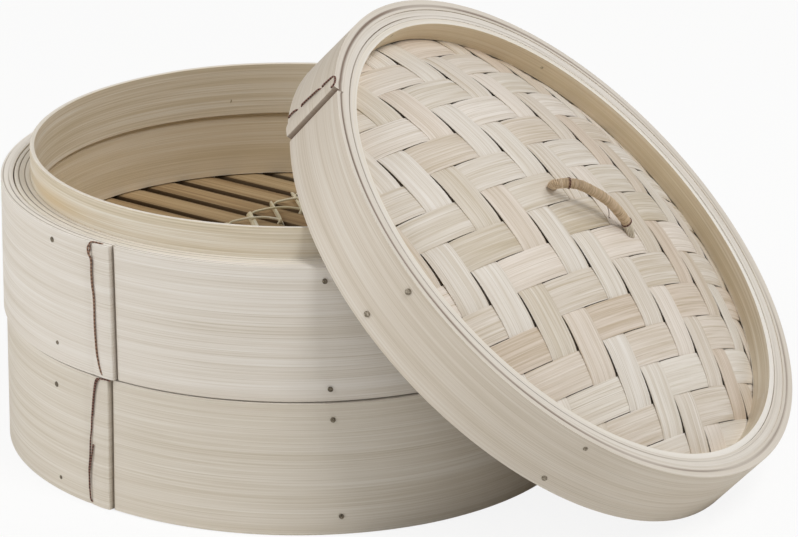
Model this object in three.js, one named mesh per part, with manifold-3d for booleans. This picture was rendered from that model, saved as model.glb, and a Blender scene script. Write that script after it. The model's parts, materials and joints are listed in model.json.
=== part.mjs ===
// Bamboo steamer: two stacked tiers with slatted floors, and a woven lid that leans against them.
// Millimetres, +Z up. X runs from the stack to the leaning lid, and Z = 0 is the table.
import * as THREE from "three";
import { mergeVertices } from "three/addons/utils/BufferGeometryUtils.js";
import Module from "manifold-3d";

const wasm = await Module();
wasm.setup();

// Driving dimensions: millimetres, and degrees where the name says so
const fitGap = 0.3; // between pieces that touch
const hoopSides = 48; // flats on every bent hoop
const leastFlat = 0.05; // share of a flat that is left between a seam and the next corner

const steamerRadius = 101.5; // outside of both tiers and of the lid
const bandThickness = 4.2; // bamboo strip wound round the outside
const bandLap = 1.2; // step where the wound strip's outer end stops
const bandLapDegrees = 70; // over which that step dies away
const hoopClearance = 0.3; // between a wound band and the hoop bent inside it

const tierHeight = 47.5;
const collarThickness = 1.6;
const collarRise = 10.5; // how far a collar stands above its tier
const collarDepth = 8.9; // how far it reaches down inside
const collarFit = 0.4; // between a collar and the hoops round it
const tierSlip = 1.2; // the lid's weight pushes the upper tier this far off the lower one's axis
const hoopThickness = 5.3;
const footHeight = 11.6; // hoop that carries the slats
const upperSeamDegrees = -102;
const lowerSeamDegrees = -103.2;

const slatWidth = 10.4;
const slatSpace = 3.2;
const slatThickness = 2.6;
const slatBearing = 4.1; // slat end that passes under the inner hoop
const slatMargin = 1; // the outermost slat's outer side stays this far inside the slats' reach
const slatTurnDegrees = -11.5;
const crossBarWidth = 12.2;
const crossBarThickness = 2.2;
const crossBarPlace = 32.5; // from the middle of the floor
const crossBarInset = 1.5; // from the collar of the tier below
const bedding = 0.2; // depth of the slats in the cross bars

const lashingThickness = 0.9;
const lashingStagger = 0.75; // half the distance of two strands in one gap
const lashingArch = 1.6; // rise of the second run over the first
const lashingTail = 1.2; // its ends stop this far from the cross bar's middle

const threadThickness = 0.9;
const threadSetback = 8.4; // of the stitched line from the band's end
const threadMargin = 2.2; // from the band's edges
const threadDrift = 0.8; // sideways wander of the stitched line
const threadWander = 5; // radians of that wander from the band's foot to its top

const lidHeight = 25.8;
const lidHoopThickness = 3.3;
const lidHoopInset = 0.3; // of the inner hoop's top below the band's
const lidCollarSpace = 0.7; // over a collar that the closed lid covers
const topRingWidth = 2;
const topRingInset = 0.6;
const underRingWidth = 3.5;
const lidSeamDegrees = -146.6;
const leanDegrees = 42.3;
const leanTouch = 0.45; // left between the leaning lid and the stack
const leastStep = 1e-6; // to which the lid's place is halved in on

const domeTop = 37; // middle of the weave above the lid's lower edge
const domeEdge = 15.5; // the same at the top ring's bore
const stripsEachWay = 15;
const stripSpace = 0.65;
const stripThickness = 0.7;
const weaveGap = 0.35; // between strips where they cross
const floatBow = 0.25; // rise of a strip in the middle of its float
const weaveTurnDegrees = -14;
const weaveClamp = 1.9; // weave held between the lid's rings
const liningThickness = 0.6;

const bailSpan = 35.4;
const bailRise = 6.6; // middle of the bail above the weave
const bailCore = 1.2;
const bailWrapThickness = 0.5;
const bailWrapWidth = 1;
const bailTurns = 20;
const bailTurnDegrees = 40;
const bailTail = 2.4; // leg left below the lining
const bailSquareness = 0.75; // power of the arch's sine and cosine: below 1 its shoulders are squarer
const bailWrapEdge = 0.3; // height of the wrap's crown that is left at its edges, as a share
const bailSteps = 18; // along the rod's arch
const wrapSteps = 8; // to a turn of the wrap

// Sizes that follow
const bandBore = steamerRadius - bandThickness;
const hoopRadius = bandBore - hoopClearance;
const hoopBore = hoopRadius - hoopThickness;
const collarRadius = hoopBore - collarFit;
const collarBore = collarRadius - collarThickness;
const footBore = collarRadius + tierSlip + collarFit;
const slatBottom = footHeight + fitGap;
const slatTop = slatBottom + slatThickness;
const slatReach = hoopBore + slatBearing;
const slatPitch = slatWidth + slatSpace;
const slatsPerSide = Math.floor((slatReach + slatSpace / 2 - slatMargin) / slatPitch);
const crossBarReach = Math.sqrt((collarBore - crossBarInset) ** 2 - crossBarPlace ** 2);
const joinedSlatsPerSide = Math.min(slatsPerSide, Math.floor(crossBarReach / slatPitch));
const crossBarBottom = slatBottom - crossBarThickness;
const lashingSpread = crossBarWidth / 2 + fitGap + lashingThickness / 2;
const lashingCorner = crossBarPlace + lashingSpread + lashingThickness / 2;
const lashingReach = Math.sqrt((collarBore - crossBarInset) ** 2 - lashingCorner ** 2) - lashingThickness;
const lashedSlatsPerSide = Math.min(joinedSlatsPerSide, Math.floor(lashingReach / slatPitch));
const tierPitch = tierHeight + fitGap;

const lidHoopRadius = bandBore - hoopClearance;
const lidHoopBore = lidHoopRadius - lidHoopThickness;
const ringRadius = lidHoopBore - fitGap;
const topRingBore = ringRadius - topRingWidth;
const underRingBore = ringRadius - underRingWidth;
const lidInnerBottom = collarRise + lidCollarSpace;
const domeRise = domeTop - domeEdge;
const ballRadius = (topRingBore ** 2 + domeRise ** 2) / (2 * domeRise);
const ballCentre = domeTop - ballRadius;
const weaveRadius = topRingBore + weaveClamp;
const weavePitch = (2 * ballRadius * Math.asin(topRingBore / ballRadius)) / stripsEachWay;
const stripWidth = weavePitch - stripSpace;
const stripLevel = (stripThickness + weaveGap) / 2;
const weaveHalf = stripLevel + stripThickness / 2;
const liningTop = -weaveHalf - fitGap;
const liningBottom = liningTop - liningThickness;

const radians = THREE.MathUtils.degToRad;
const lean = radians(leanDegrees);

// Colours and surfaces
const finishes = {
  band: { color: 0xd8cdb9, roughness: 0.6 },
  hoop: { color: 0xcfc0a4, roughness: 0.65 },
  slat: { color: 0xb59a6c, roughness: 0.65 },
  cane: { color: 0xc9b68f, roughness: 0.55 },
  strip: { color: 0xdcd1bc, roughness: 0.6 },
  lining: { color: 0xb8a27a, roughness: 0.8 },
  bail: { color: 0xa48b5f, roughness: 0.6 },
  thread: { color: 0x5b3a2c, roughness: 0.85 },
};

function mesh(name, geometry, finish) {
  const material = new THREE.MeshStandardMaterial({ ...finishes[finish], metalness: 0, flatShading: true });
  const made = new THREE.Mesh(geometry, material);
  made.name = name;
  return made;
}

// A closed geometry as a solid that can be cut and joined, and back again
function solidOf(geometry) {
  const bare = new THREE.BufferGeometry();
  bare.setAttribute("position", geometry.getAttribute("position"));
  if (geometry.index) bare.setIndex(geometry.index);
  const merged = mergeVertices(bare, 1e-4);
  return new wasm.Manifold(
    new wasm.Mesh({
      numProp: 3,
      vertProperties: new Float32Array(merged.attributes.position.array),
      triVerts: new Uint32Array(merged.index.array),
    }),
  );
}

function geometryOf(solid) {
  const made = solid.getMesh();
  const geometry = new THREE.BufferGeometry();
  const positions = new Float32Array(made.numVert * 3);
  for (let i = 0; i < made.numVert; i++) {
    positions.set(made.vertProperties.subarray(i * made.numProp, i * made.numProp + 3), i * 3);
  }
  geometry.setAttribute("position", new THREE.BufferAttribute(positions, 3));
  geometry.setIndex(new THREE.BufferAttribute(new Uint32Array(made.triVerts), 1));
  return geometry;
}

// A shape in the XY plane, raised from one height to another
function raised(shape, bottom, top) {
  const geometry = new THREE.ExtrudeGeometry(shape, { depth: top - bottom, bevelEnabled: false });
  return geometry.translate(0, 0, bottom);
}

// A hoop: radius and height pairs, anticlockwise as seen with the axis on the left
function turned(profile) {
  const points = profile.map(([radius, height]) => new THREE.Vector2(radius, height));
  return new THREE.LatheGeometry(points, hoopSides).rotateX(Math.PI / 2);
}

function hoop(bore, radius, bottom, top) {
  return turned([
    [bore, bottom],
    [radius, bottom],
    [radius, top],
    [bore, top],
    [bore, bottom],
  ]);
}

// A wound band: full radius up to the strip's end, then a step that dies away round the hoop
function woundBand(height, seamDegrees) {
  const outline = new THREE.Shape();
  const seam = radians(seamDegrees);
  const lap = radians(bandLapDegrees);
  const flat = (2 * Math.PI) / hoopSides;
  const squareEnd = flat / 100;
  const corners = [{ angle: seam, radius: steamerRadius }];
  corners.push({ angle: seam + squareEnd, radius: steamerRadius - bandLap });
  const first = Math.ceil(seam / flat + leastFlat);
  for (let i = first; i < first + hoopSides - 1; i++) {
    const past = Math.min((i * flat - seam) / lap, 1);
    const step = bandLap * (1 - past * past * (3 - 2 * past));
    corners.push({ angle: i * flat, radius: steamerRadius - step });
  }
  if ((first - 1 + leastFlat) * flat < seam) {
    corners.push({ angle: (first - 1) * flat + 2 * Math.PI, radius: steamerRadius });
  }
  outline.setFromPoints(corners.map((c) => new THREE.Vector2(c.radius * Math.cos(c.angle), c.radius * Math.sin(c.angle))));
  const bore = new THREE.Path();
  bore.setFromPoints(
    Array.from(
      { length: hoopSides },
      (_, i) => new THREE.Vector2(bandBore * Math.cos(-i * flat), bandBore * Math.sin(-i * flat)),
    ),
  );
  outline.holes.push(bore);
  return raised(outline, 0, height);
}

// Sections of equal point count, skinned one to the next and capped
function skinned(sections) {
  const sides = sections[0].length;
  const positions = sections.flat().flatMap((p) => [p.x, p.y, p.z]);
  const faces = [];
  for (let i = 0; i + 1 < sections.length; i++) {
    for (let k = 0; k < sides; k++) {
      const a = i * sides + k;
      const b = i * sides + ((k + 1) % sides);
      faces.push(a, b, b + sides, a, b + sides, a + sides);
    }
  }
  const last = (sections.length - 1) * sides;
  for (let k = 1; k + 1 < sides; k++) {
    faces.push(0, k + 1, k, last, last + k, last + k + 1);
  }
  const geometry = new THREE.BufferGeometry();
  geometry.setAttribute("position", new THREE.Float32BufferAttribute(positions, 3));
  geometry.setIndex(faces);
  return geometry;
}

// A cord of round or square section along a chain of points, mitred at each bend
function cord(points, radius, sides) {
  const directions = points.slice(1).map((p, i) => p.clone().sub(points[i]).normalize());
  let across = new THREE.Vector3(0, 0, 1).cross(directions[0]);
  const upright = across.length() < 0.1;
  if (upright) across = new THREE.Vector3(1, 0, 0).cross(directions[0]);
  across.normalize();
  const sections = points.map((point, i) => {
    const before = directions[Math.max(i - 1, 0)];
    const after = directions[Math.min(i, directions.length - 1)];
    const turn = new THREE.Quaternion().setFromUnitVectors(before, after);
    const up = before.clone().cross(across);
    const cut = before.clone().add(after).normalize();
    const ring = [];
    for (let k = 0; k < sides; k++) {
      const angle = ((k + 0.5) / sides) * 2 * Math.PI;
      const spoke = across.clone().multiplyScalar(Math.cos(angle) * radius);
      spoke.addScaledVector(up, Math.sin(angle) * radius);
      const slide = -spoke.dot(cut) / before.dot(cut);
      ring.push(point.clone().add(spoke).addScaledVector(before, slide));
    }
    across.applyQuaternion(turn);
    return ring;
  });
  return skinned(sections);
}

// Floor of one tier
function slatShape(from, to) {
  const halfLength = (offset) => Math.sqrt(slatReach ** 2 - offset ** 2);
  const middle = (from + to) / 2;
  const right = [from, middle, to].map((y) => new THREE.Vector2(halfLength(y), y));
  const left = [to, middle, from].map((y) => new THREE.Vector2(-halfLength(y), y));
  return new THREE.Shape([...right, ...left]);
}

function slat(index) {
  const from = index * slatPitch + slatSpace / 2;
  return raised(slatShape(from, from + slatWidth), slatBottom, slatTop);
}

function crossBar(place) {
  const edges = [place - crossBarWidth / 2, place, place + crossBarWidth / 2];
  const end = (x) => Math.min(Math.sqrt((collarBore - crossBarInset) ** 2 - x ** 2), joinedSlatsPerSide * slatPitch);
  const far = edges.map((x) => new THREE.Vector2(x, end(x))).reverse();
  const near = edges.map((x) => new THREE.Vector2(x, -end(x)));
  return raised(new THREE.Shape([...near, ...far]), crossBarBottom, slatBottom + bedding);
}

function slatGrid() {
  const pieces = [crossBar(-crossBarPlace), crossBar(crossBarPlace)];
  for (let i = -joinedSlatsPerSide; i < joinedSlatsPerSide; i++) pieces.push(slat(i));
  const joined = pieces.map(solidOf).reduce((all, piece) => all.add(piece));
  return geometryOf(joined).rotateZ(radians(slatTurnDegrees));
}

// Least distance between a chain's own points that are further apart along it than the given reach
function leastGap(points, reach) {
  const travelled = [0];
  for (let i = 1; i < points.length; i++) travelled.push(travelled[i - 1] + points[i].distanceTo(points[i - 1]));
  let least = Infinity;
  for (let i = 0; i < points.length; i++) {
    for (let k = i + 1; k < points.length; k++) {
      if (travelled[k] - travelled[i] > reach) least = Math.min(least, points[i].distanceTo(points[k]));
    }
  }
  return least;
}

// One strand that crosses over every slat and under the cross bar in every gap, out and back again.
// On its way back it arches over its first run on each slat.
function lashing(place) {
  const over = slatTop + fitGap + lashingThickness / 2;
  const under = crossBarBottom - fitGap - lashingThickness / 2;
  const points = [];
  const add = (x, y, z) => points.push(new THREE.Vector3(place + x, y, z));
  const inGap = (gap, shift) => gap * slatPitch + shift * lashingStagger;
  const last = lashedSlatsPerSide;
  add(-lashingTail, inGap(-last, 1), under);
  for (let gap = -last; gap < last; gap++) {
    const near = inGap(gap, gap === -last ? 1 : -1);
    const far = inGap(gap + 1, -1);
    add(-lashingSpread, near, under);
    add(-lashingSpread, near, over);
    add(lashingSpread, far, over);
    add(lashingSpread, far, under);
  }
  for (let gap = last; gap > -last; gap--) {
    const near = inGap(gap, gap === last ? -1 : 1);
    const far = inGap(gap - 1, 1);
    add(-lashingSpread, near, under);
    add(-lashingSpread, near, over);
    add(0, (near + far) / 2, over + lashingArch);
    add(lashingSpread, far, over);
    add(lashingSpread, far, under);
  }
  add(lashingTail, inGap(-last, 1), under);
  const quarters = [0, 0.25, 0.5, 0.75];
  const samples = points.slice(1).flatMap((p, i) => quarters.map((share) => points[i].clone().lerp(p, share)));
  const gap = leastGap(samples, 3 * lashingThickness) - lashingThickness;
  console.log("least gap of a lashing to itself: " + gap.toFixed(2) + " mm");
  return cord(points, lashingThickness / Math.SQRT2, 4).rotateZ(radians(slatTurnDegrees));
}

// The stitched line beside the end of a wound band
function seamThread(height, seamDegrees) {
  const radius = steamerRadius + fitGap + threadThickness / 2;
  const around = (distance) => radians(seamDegrees) - distance / steamerRadius;
  const points = [0, 0.25, 0.5, 0.75, 1].map((share) => {
    const drift = threadDrift * Math.sin(share * threadWander);
    const angle = around(threadSetback + drift);
    const rise = threadMargin + share * (height - 2 * threadMargin);
    return new THREE.Vector3(radius * Math.cos(angle), radius * Math.sin(angle), rise);
  });
  return cord(points, threadThickness / 2, 6);
}

function tier(name, seamDegrees) {
  const group = new THREE.Group();
  const collarBottom = tierHeight - collarDepth;
  group.add(
    mesh(name + "_outer_band", woundBand(tierHeight, seamDegrees), "band"),
    mesh(name + "_inner_hoop", hoop(hoopBore, hoopRadius, slatTop + fitGap, tierHeight - fitGap), "hoop"),
    mesh(name + "_foot_hoop", hoop(footBore, hoopRadius, 0, footHeight), "hoop"),
    mesh(name + "_collar", hoop(collarBore, collarRadius, collarBottom, tierHeight + collarRise), "band"),
    mesh(name + "_slat_grid", slatGrid(), "slat"),
    mesh(name + "_lashing_left", lashing(-crossBarPlace), "cane"),
    mesh(name + "_lashing_right", lashing(crossBarPlace), "cane"),
    mesh(name + "_seam_thread", seamThread(tierHeight, seamDegrees), "thread"),
  );
  for (let i = joinedSlatsPerSide; i < slatsPerSide; i++) {
    const turn = radians(slatTurnDegrees);
    group.add(mesh(`${name}_side_slat_right_${i - joinedSlatsPerSide + 1}`, slat(i).rotateZ(turn), "slat"));
    group.add(mesh(`${name}_side_slat_left_${i - joinedSlatsPerSide + 1}`, slat(-1 - i).rotateZ(turn), "slat"));
  }
  return group;
}

// Woven face of the lid. The weave lies on a ball: s and t are lengths along it each way from the top.
function onDome(s, t, level) {
  const x = ballRadius * Math.sin(s / ballRadius);
  const y = ballRadius * Math.sin(t / ballRadius);
  const z = Math.sqrt(ballRadius ** 2 - x ** 2 - y ** 2);
  return new THREE.Vector3(x, y, z).multiplyScalar(1 + level / ballRadius).add(new THREE.Vector3(0, 0, ballCentre));
}

function domeHeight(radius, level) {
  return ballCentre + Math.sqrt((ballRadius + level) ** 2 - radius ** 2);
}

// Two over, two under, each strip a step further on than its neighbour
function passesOver(alongIndex, acrossIndex) {
  const step = (((acrossIndex - alongIndex - 2) % 4) + 4) % 4;
  return step < 2;
}

// One strip as floats: over and under by turns, with the change inside the space between two crossing strips
function stripFloats(isOver) {
  const half = (stripsEachWay - 1) / 2 + 1;
  const floats = [];
  for (let i = -half; i <= half; i++) {
    const over = isOver(i);
    const end = i * weavePitch + stripWidth / 2;
    const last = floats.at(-1);
    if (last && last.over === over) last.end = end;
    else floats.push({ over, start: i * weavePitch - stripWidth / 2, end });
  }
  return floats;
}

function strip(index, along) {
  const isOver = (other) => (along ? passesOver(index, other) : !passesOver(other, index));
  const place = index * weavePitch;
  const sections = stripFloats(isOver).flatMap(({ over, start, end }) => {
    const level = over ? stripLevel : -stripLevel;
    const stops = [
      [start, level],
      [(start + end) / 2, over ? level + floatBow : level],
      [end, level],
    ];
    return stops.map(([distance, height]) => {
      const corner = (side, face) => {
        const edge = place + (side * stripWidth) / 2;
        const lift = height + (face * stripThickness) / 2;
        return along ? onDome(distance, edge, lift) : onDome(edge, distance, lift);
      };
      const ring = [corner(-1, -1), corner(1, -1), corner(1, 1), corner(-1, 1)];
      return along ? ring : ring.reverse();
    });
  });
  return skinned(sections).rotateZ(radians(weaveTurnDegrees));
}

// Holes for the bail's legs, tall enough to pass through weave and lining
function bailHoles() {
  const radius = bailCore / 2 + fitGap;
  const height = 2 * domeTop;
  return [-1, 1].map((side) => {
    const leg = new THREE.CylinderGeometry(radius, radius, height, 10).rotateX(Math.PI / 2);
    const place = (side * bailSpan) / 2;
    const turn = radians(bailTurnDegrees);
    return solidOf(leg.translate(place * Math.cos(turn), place * Math.sin(turn), domeTop));
  });
}

// Middle line of the bail, from one leg's lower end to the other's, by share of its length
class BailLine extends THREE.Curve {
  constructor(from, to) {
    super();
    this.from = from;
    this.to = to;
  }
  getPoint(share, target = new THREE.Vector3()) {
    const half = bailSpan / 2;
    const foot = domeHeight(half, 0);
    const angle = Math.PI * (this.from + (this.to - this.from) * share);
    const along = -Math.sign(Math.cos(angle)) * half * Math.abs(Math.cos(angle)) ** bailSquareness;
    const up = foot + (domeTop + bailRise - foot) * Math.sin(angle) ** bailSquareness;
    const turn = radians(bailTurnDegrees);
    return target.set(along * Math.cos(turn), along * Math.sin(turn), up);
  }
}

function bailRod() {
  const half = bailSpan / 2;
  const bottom = domeHeight(half, liningBottom) - bailTail;
  const arch = new BailLine(0, 1).getPoints(bailSteps);
  const start = arch[0].clone().setZ(bottom);
  const end = arch.at(-1).clone().setZ(bottom);
  return cord([start, ...arch, end], bailCore / 2, 6);
}

// Cane wound round the bail, one unbroken strand
function bailWrap() {
  const clearTop = weaveHalf + floatBow + fitGap + bailWrapThickness;
  const share = Math.asin((clearTop / bailRise) ** (1 / bailSquareness)) / Math.PI;
  const line = new BailLine(share, 1 - share);
  const turn = radians(bailTurnDegrees);
  const side = new THREE.Vector3(-Math.sin(turn), Math.cos(turn), 0);
  const radius = bailCore / 2 + fitGap + bailWrapThickness / 2;
  const steps = bailTurns * wrapSteps;
  const centres = [];
  const sections = [];
  for (let i = 0; i <= steps; i++) {
    const middle = line.getPointAt(i / steps);
    const ahead = line.getTangentAt(i / steps);
    const out = side.clone().cross(ahead).normalize();
    const angle = (i / wrapSteps) * 2 * Math.PI;
    const spoke = out.multiplyScalar(Math.cos(angle)).addScaledVector(side, Math.sin(angle));
    const centre = middle.clone().addScaledVector(spoke, radius);
    centres.push(centre);
    const halfWidth = bailWrapWidth / 2;
    const halfThick = bailWrapThickness / 2;
    const outline = [
      [-1, -1],
      [1, -1],
      [1, bailWrapEdge],
      [0, 1],
      [-1, bailWrapEdge],
    ];
    sections.push(
      outline.map(([w, h]) => centre.clone().addScaledVector(ahead, w * halfWidth).addScaledVector(spoke, h * halfThick)),
    );
  }
  const gap = leastGap(centres, Math.PI * radius) - bailWrapWidth;
  console.log("least gap between turns of the handle's wrap: " + gap.toFixed(2) + " mm");
  return skinned(sections);
}

function lid() {
  const group = new THREE.Group();
  const hoopTop = lidHeight - lidHoopInset;
  const ringTop = lidHeight - topRingInset;
  const above = (radius) => domeHeight(radius, weaveHalf + floatBow) + fitGap;
  const below = (radius) => domeHeight(radius, liningBottom) - fitGap;
  const topRing = turned([
    [topRingBore, above(topRingBore)],
    [ringRadius, above(ringRadius)],
    [ringRadius, ringTop],
    [topRingBore, ringTop],
    [topRingBore, above(topRingBore)],
  ]);
  const underRing = turned([
    [underRingBore, lidInnerBottom],
    [ringRadius, lidInnerBottom],
    [ringRadius, below(ringRadius)],
    [underRingBore, below(underRingBore)],
    [underRingBore, lidInnerBottom],
  ]);
  const liningSteps = 5;
  const arc = (level, share) => {
    const radius = weaveRadius * share;
    return [radius, domeHeight(radius, level)];
  };
  const shares = Array.from({ length: liningSteps + 1 }, (_, i) => i / liningSteps);
  const profile = [...shares.map((s) => arc(liningBottom, s)), ...shares.reverse().map((s) => arc(liningTop, s))];
  const holes = bailHoles();
  const pierced = (geometry) => geometryOf(holes.reduce((all, hole) => all.subtract(hole), solidOf(geometry)));

  group.add(
    mesh("lid_outer_band", woundBand(lidHeight, lidSeamDegrees), "band"),
    mesh("lid_inner_hoop", hoop(lidHoopBore, lidHoopRadius, lidInnerBottom, hoopTop), "hoop"),
    mesh("lid_top_ring", topRing, "hoop"),
    mesh("lid_under_ring", underRing, "hoop"),
    mesh("lid_lining", pierced(turned(profile)), "lining"),
  );

  const trimHeight = 4 * domeTop; // it spans zero evenly, so twice the dome each way
  const trim = new THREE.CylinderGeometry(weaveRadius, weaveRadius, trimHeight, hoopSides).rotateX(Math.PI / 2);
  const trimSolid = holes.reduce((all, hole) => all.subtract(hole), solidOf(trim));
  const half = (stripsEachWay - 1) / 2;
  for (let i = -half; i <= half; i++) {
    const number = String(i + half + 1).padStart(2, "0");
    for (const along of [true, false]) {
      const cut = solidOf(strip(i, along)).intersect(trimSolid);
      group.add(mesh(`lid_strip_${along ? "along" : "across"}_${number}`, geometryOf(cut), "strip"));
    }
  }

  group.add(
    mesh("lid_handle_rod", bailRod(), "bail"),
    mesh("lid_handle_wrap", bailWrap(), "bail"),
    mesh("lid_seam_thread", seamThread(lidHeight, lidSeamDegrees), "thread"),
  );
  return group;
}

// How far the lid's middle stands from the upper tier's axis when its low edge is on the table
// and its skirt touches that tier. Each circle is sampled all round, and the distance is halved in on.
function leanDistance(stackTop) {
  const lift = steamerRadius * Math.sin(lean);
  const drums = [
    { radius: steamerRadius, top: stackTop },
    { radius: collarRadius, top: stackTop + collarRise },
  ];
  const toDrum = (x, y, z, drum) => {
    const outside = Math.hypot(x, y) - drum.radius;
    const over = z - drum.top;
    if (outside < 0 && over < 0) return Math.max(outside, over);
    return Math.hypot(Math.max(outside, 0), Math.max(over, 0));
  };
  const inLid = (radius, height) => {
    if (height < 0) return Infinity;
    const toBall = ballRadius + liningBottom - Math.hypot(radius, height - ballCentre);
    const toRing = Math.max(underRingBore - radius, lidInnerBottom - height);
    return Math.min(bandBore - radius, toRing, toBall);
  };
  const clearance = (distance) => {
    let least = Infinity;
    for (let degrees = 0; degrees <= 360; degrees++) {
      const angle = radians(degrees);
      for (const rim of [bandBore, steamerRadius]) {
        const x = distance + rim * Math.cos(angle) * Math.cos(lean);
        const z = lift - rim * Math.cos(angle) * Math.sin(lean);
        for (const drum of drums) least = Math.min(least, toDrum(x, rim * Math.sin(angle), z, drum));
      }
      for (const drum of drums) {
        const x = drum.radius * Math.cos(angle) - distance;
        const y = drum.radius * Math.sin(angle);
        const z = drum.top - lift;
        const slope = x * Math.cos(lean) - z * Math.sin(lean);
        least = Math.min(least, inLid(Math.hypot(slope, y), x * Math.sin(lean) + z * Math.cos(lean)));
      }
    }
    return least;
  };
  let near = 0;
  let far = 3 * steamerRadius;
  while (far - near > leastStep) {
    const middle = (near + far) / 2;
    if (clearance(middle) > leanTouch) far = middle;
    else near = middle;
  }
  return far;
}

const stackTop = tierPitch + tierHeight;
const lidDistance = leanDistance(stackTop);
const farSide = lidDistance + steamerRadius * Math.cos(lean) + lidHeight * Math.sin(lean);
const upperX = (steamerRadius - farSide) / 2;
const lowerX = upperX + tierSlip;

const lowerTier = tier("lower", lowerSeamDegrees);
lowerTier.position.set(lowerX, 0, 0);

const upperTier = tier("upper", upperSeamDegrees);
upperTier.position.set(upperX, 0, tierPitch);

const leaningLid = lid();
leaningLid.position.set(upperX + lidDistance, 0, steamerRadius * Math.sin(lean));
leaningLid.rotation.y = lean;

const steamer = new THREE.Group();
steamer.add(lowerTier, upperTier, leaningLid);
console.log("lid's middle from the upper tier's axis: " + lidDistance.toFixed(2) + " mm");
console.log("axes at x = " + lowerX.toFixed(2) + " mm (lower tier) and " + upperX.toFixed(2) + " mm (upper tier)");

export default steamer;
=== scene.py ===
import json
import math

import bpy
from mathutils import Matrix, Vector, noise


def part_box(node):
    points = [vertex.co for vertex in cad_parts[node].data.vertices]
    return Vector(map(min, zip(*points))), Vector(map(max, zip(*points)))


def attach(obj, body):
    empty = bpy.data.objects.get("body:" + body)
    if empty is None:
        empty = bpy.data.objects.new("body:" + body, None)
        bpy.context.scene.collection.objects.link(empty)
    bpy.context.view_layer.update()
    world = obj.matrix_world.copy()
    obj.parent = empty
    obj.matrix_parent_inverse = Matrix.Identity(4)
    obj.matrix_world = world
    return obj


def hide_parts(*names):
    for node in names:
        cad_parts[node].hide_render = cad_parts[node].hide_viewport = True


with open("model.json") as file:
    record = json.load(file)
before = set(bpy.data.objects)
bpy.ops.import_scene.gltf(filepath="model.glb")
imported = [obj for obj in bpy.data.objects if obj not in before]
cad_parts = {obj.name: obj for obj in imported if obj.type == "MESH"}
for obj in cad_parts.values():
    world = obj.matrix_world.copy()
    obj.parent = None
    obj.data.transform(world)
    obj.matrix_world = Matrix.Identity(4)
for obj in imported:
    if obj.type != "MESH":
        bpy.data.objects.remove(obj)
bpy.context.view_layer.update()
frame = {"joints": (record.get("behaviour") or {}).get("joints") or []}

mm = 0.001

# places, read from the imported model
lowerLow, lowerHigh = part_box("lower_outer_band")
upperLow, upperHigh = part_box("upper_outer_band")
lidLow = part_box("lid_outer_band")[0]
lidAxis = Vector(next(j["axis"] for j in frame["joints"] if j["name"] == "lid_lift"))
lean = math.atan2(lidAxis.x, lidAxis.z)
outerRadius = (lowerHigh.x - lowerLow.x) / 2 / mm
lowerAxis = Vector(((lowerLow.x + lowerHigh.x) / 2, 0, 0))
upperAxis = Vector(((upperLow.x + upperHigh.x) / 2, 0, upperLow.z))
lidCentre = Vector((lidLow.x + outerRadius * mm * math.cos(lean), 0, outerRadius * mm * math.sin(lean)))
tierPlace = {"lower": Matrix.Translation(lowerAxis), "upper": Matrix.Translation(upperAxis)}
lidPlace = Matrix.Translation(lidCentre) @ Matrix.Rotation(lean, 4, "Y")


def linear(hexColour):
    channels = [int(hexColour[i:i + 2], 16) / 255 for i in (1, 3, 5)]
    return [c / 12.92 if c <= 0.04045 else ((c + 0.055) / 1.055) ** 2.4 for c in channels] + [1]


def addNode(tree, kind, inputs=None, **settings):
    made = tree.nodes.new(kind)
    for name, value in settings.items():
        setattr(made, name, value)
    for key, value in (inputs or {}).items():
        if isinstance(value, bpy.types.Node):
            value = next(s for s in value.outputs if s.enabled)
        if isinstance(value, bpy.types.NodeSocket):
            tree.links.new(value, made.inputs[key])
        else:
            made.inputs[key].default_value = value
    return made


# materials

def startMaterial(name):
    material = bpy.data.materials.new(name)
    material.use_nodes = True
    tree = material.node_tree
    tree.nodes.clear()
    return material, tree


def finishMaterial(tree, inputs):
    surface = addNode(tree, "ShaderNodeBsdfPrincipled", {**inputs, "IOR": 1.5})
    addNode(tree, "ShaderNodeOutputMaterial", {"Surface": surface})


def setStops(ramp, stops):
    elements = ramp.color_ramp.elements
    while len(elements) < len(stops):
        elements.new(0.5)
    for element, (place, colour) in zip(elements, stops):
        element.position = place
        element.color = linear(colour)


bambooLook = {
    "fibreLength": 80, "fibreWidth": 0.55, "streakWidth": 4, "patch": 60,
    "fineShare": 0.5, "streakShare": 0.35, "patchShare": 0.15, "toneShare": 0.0,
    "stops": [(0.34, "#CDC2B0"), (0.50, "#DAD1C3"), (0.64, "#E4DDD2")],
    "tints": [(0.0, "#FFFFFF"), (1.0, "#FFFFFF")], "tintScatter": 7.3,
    "line": "#B5A78F", "lineWidth": 0.7, "lineRange": (0.60, 0.74), "lineShare": 0.4,
    # the colour of painted shade in grooves, beside band ends, where weave strips dip and on slat sides
    "stain": "#BDAE80", "pale": "#F3EEE6", "sink": "#7D6C58", "sinkDepth": 0.9, "sinkShare": 0.78,
    "rough": 0.55, "roughSpread": 0.08, "specular": 0.4, "bump": 0.25, "bumpDepth": 0.25,
}


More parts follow.
